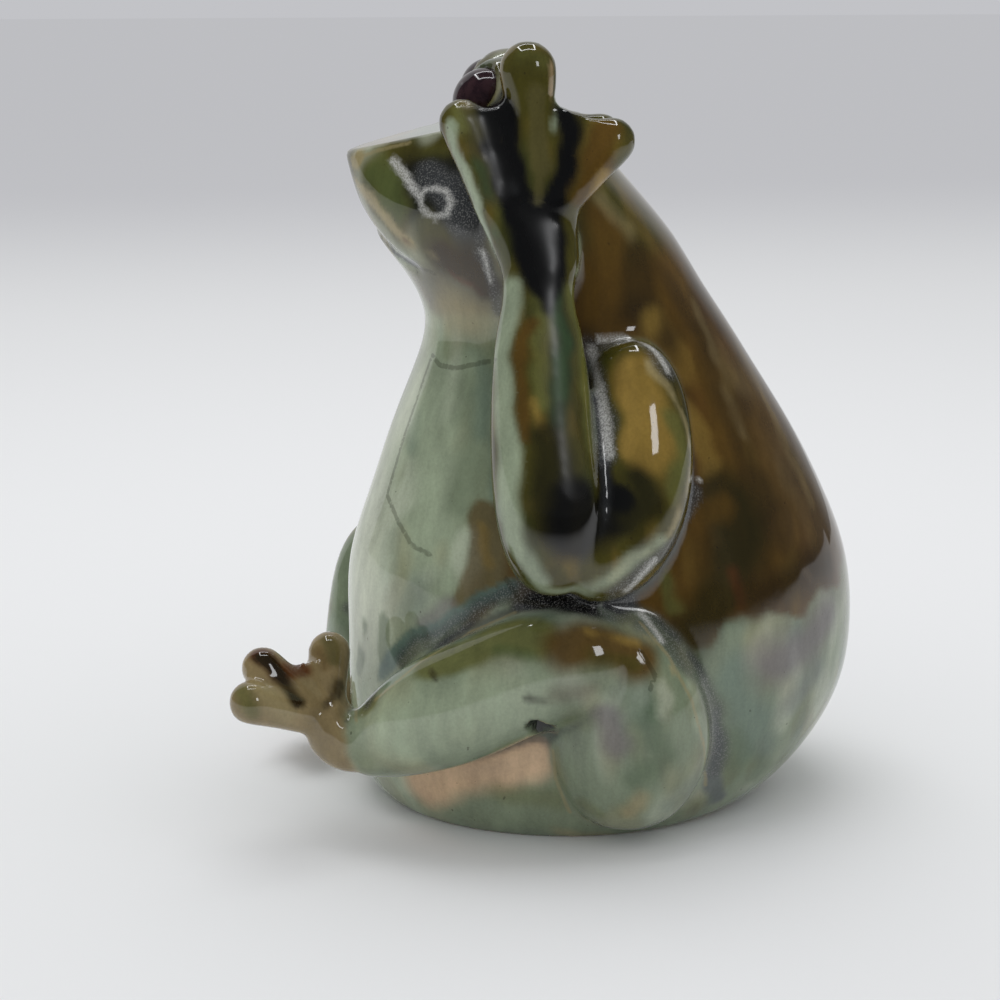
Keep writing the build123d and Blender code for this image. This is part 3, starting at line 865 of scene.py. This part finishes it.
def add_piece(name, mesh, material, slot, *nodes):
    piece = bpy.data.objects.new(name, mesh)
    scene.collection.objects.link(piece)
    mesh.materials.clear()
    mesh.materials.append(material)
    mesh.polygons.foreach_set("use_smooth", np.ones(len(mesh.polygons), bool))
    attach(piece, "root")
    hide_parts(*nodes)


def add_eye(side, material):
    dome = merged_copy(side + "_eye", EYE_COAT)
    mesh = bpy.data.meshes.new(side + "_eye_dome")
    dome.to_mesh(mesh)
    dome.free()
    add_piece(side + "_eye_dome", mesh, material, "eye_glaze", side + "_eye")


# Stage

TABLE_SIZE = 4.0
# Beyond this far on the camera's side, the glaze doesn't mirror the table
TABLE_EDGE = 0.15
# Colour of the dim room in the mirror of the glaze
DIM_ROOM = (0.9, 0.95, 1.0, 1)
CARD_LIGHT = (0.97, 0.98, 1.0, 1)


def add_plane(name, corners, material):
    bm = bmesh.new()
    bm.faces.new([bm.verts.new(corner) for corner in corners])
    mesh = bpy.data.meshes.new(name)
    bm.to_mesh(mesh)
    bm.free()
    mesh.materials.append(material)
    plane = bpy.data.objects.new(name, mesh)
    scene.collection.objects.link(plane)
    return plane


def paper_material():
    """White paper with painted shade, greyer far behind the frog; towards the camera it fades out of the
    glaze's mirror.
    """
    shader = Shader("white_paper")
    across = shader.node("SeparateXYZ", Vector=shader.place(), output="X")
    # Painted shade: greyer paper far behind the frog
    near_share = across.step(-0.95, -0.45)
    base = shader.mix(near_share, np.array([0.69, 0.695, 0.725]), np.array([0.83, 0.84, 0.855]))
    paper = shader.node("BsdfPrincipled", Base_Color=base, Roughness=0.9, Specular_IOR_Level=0.0)
    dark = shader.node("Emission", Color=DIM_ROOM, Strength=0.05)
    mirrored = shader.node("LightPath", output="Is Glossy Ray")
    fade = across.step(TABLE_EDGE - 0.05, TABLE_EDGE + 0.10) * mirrored
    shader.finish(shader.either(fade, paper, dark))
    return shader.material


def card_material(name, strength, fade_from=None, fade_to=None):
    """Bright cloth or lamp; with two places along Y, it fades out between them."""
    shader = Shader(name)
    surface = shader.node("Emission", Color=CARD_LIGHT, Strength=strength)
    if fade_from is not None:
        dark = shader.node("Emission", Color=DIM_ROOM, Strength=0.07)
        along = shader.node("SeparateXYZ", Vector=shader.place(), output="Y")
        surface = shader.either(along.step(fade_from, fade_to), surface, dark)
    shader.finish(surface)
    return shader.material


def add_card(name, middle, facing, width, height, material):
    """Bright card that the glaze mirrors and that lights nothing."""
    middle, facing = Vector(middle), Vector(facing)
    turn = look_rotation(middle, facing)
    corners = []
    for x, y in ((-1, -1), (1, -1), (1, 1), (-1, 1)):
        corners.append(middle + turn @ Vector((x * width / 2, y * height / 2, 0)))
    card = add_plane(name, corners, material)
    card.visible_camera = False
    card.visible_diffuse = False
    card.visible_shadow = False
    card.visible_transmission = False


def add_tent():
    """Paper table, a cloth behind the frog, a square of lamp strips above and a window by the camera."""
    table = [(x * TABLE_SIZE, y * TABLE_SIZE, 0) for x, y in ((-1, -1), (1, -1), (1, 1), (-1, 1))]
    add_plane("table", table, paper_material())
    cloth = card_material("tent_cloth", 0.62, 0.10, 0.75)
    add_card("tent_back", (-0.45, 0.15, 0.375), (0, 0.15, 0.375), 1.30, 0.75, cloth)
    lamp = card_material("lamp_strip", 10.0)
    strips = [
        (-0.22, 0.0, 0.02, 0.22), (0.0, 0.0, 0.02, 0.22),
        (-0.11, -0.11, 0.22, 0.02), (-0.11, 0.11, 0.22, 0.02),
    ]
    for number, (x, y, width, height) in enumerate(strips):
        add_card(f"lamp_{number}", (x, y, 0.42), (x, y + 0.0001, 0), width, height, lamp)
    window = card_material("window_light", 6.5)
    add_card("window", (0.742, 0.43, 0.515), (0.03, 0.01, 0.06), 0.16, 0.27, window)


def add_top_light(place, goal, size, power):
    """Soft square lamp that lights the frog and doesn't show in the glaze."""
    data = bpy.data.lights.new("top_light", "AREA")
    data.shape = "RECTANGLE"
    data.size = data.size_y = size
    data.energy = power
    lamp = bpy.data.objects.new("top_light", data)
    lamp.location = place
    lamp.rotation_euler = look_rotation(Vector(place), Vector(goal)).to_euler()
    lamp.visible_glossy = False
    scene.collection.objects.link(lamp)


def add_world():
    """Backdrop grey for the camera, a dim room in the mirror of the glaze, soft light on the rest."""
    scene.world = bpy.data.worlds.new("world")
    nodes = Nodes(scene.world, "World")
    room = nodes.node("Background", Color=(1.0, 1.0, 1.0, 1), Strength=0.74)
    mirrored = nodes.node("Background", Color=DIM_ROOM, Strength=0.07)
    backdrop = nodes.node("Background", Color=(0.54, 0.545, 0.57, 1))
    light = nodes.either(nodes.node("LightPath", output="Is Glossy Ray"), room, mirrored)
    nodes.finish(nodes.either(nodes.node("LightPath", output="Is Camera Ray"), light, backdrop))


add_camera()
skin, risen = make_skin()
paint(skin, risen)
add_piece("glazed_frog", skin.mesh, glaze_material(), "body_glaze", *SKIN_NODES)
plum_glaze = eye_material()
for side in ("left", "right"):
    add_eye(side, plum_glaze)
add_tent()
add_world()
add_top_light((-0.10, 0.0, 0.55), (0, 0, 0.06), 0.40, 0.95)

scene.view_settings.view_transform = "Standard"
